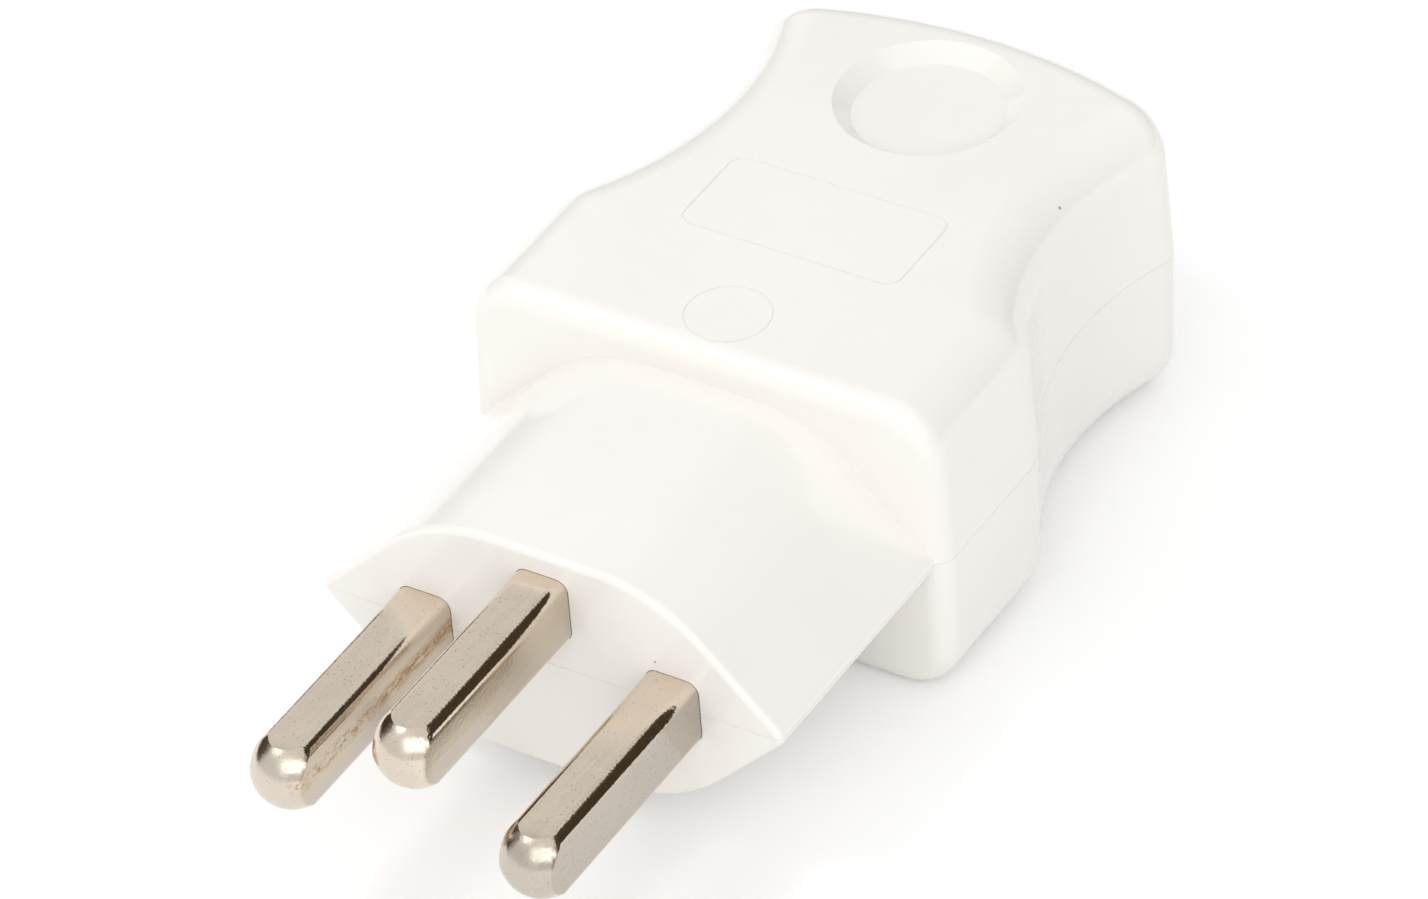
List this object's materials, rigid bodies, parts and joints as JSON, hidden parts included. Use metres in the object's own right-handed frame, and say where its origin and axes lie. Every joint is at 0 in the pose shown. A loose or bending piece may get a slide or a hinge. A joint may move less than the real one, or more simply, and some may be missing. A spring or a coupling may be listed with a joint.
{
  "type": "type j plug",
  "caption": "Rewirable type J mains plug: white two-shell housing with a hexagonal nose, gripped waist, rectangular plated pins, screw terminals and a cord clamp behind a round cord entry.",
  "frame": {"origin": "middle of the mating face, halfway between the current pins, on the parting plane of the shells", "axes": "pins point to -Y, the cord leaves to +Y, +Z is towards the marked side and the earth pin"},
  "size_m": [0.0368, 0.0791, 0.0236],
  "materials": {
    "housing": "glossy off-white moulded thermoset",
    "pins": "nickel plated",
    "screws": "zinc plated",
    "clamp": "moulded, unpolished"
  },
  "bodies": {
    "root": {"upper_shell": "housing", "lower_shell": "housing", "line_pin": "pins", "neutral_pin": "pins", "earth_pin": "pins", "terminal_screws": "screws", "cord_clamp": "clamp", "clamp_screws": "screws", "housing_screws": "screws"}
  },
  "joints": []
}
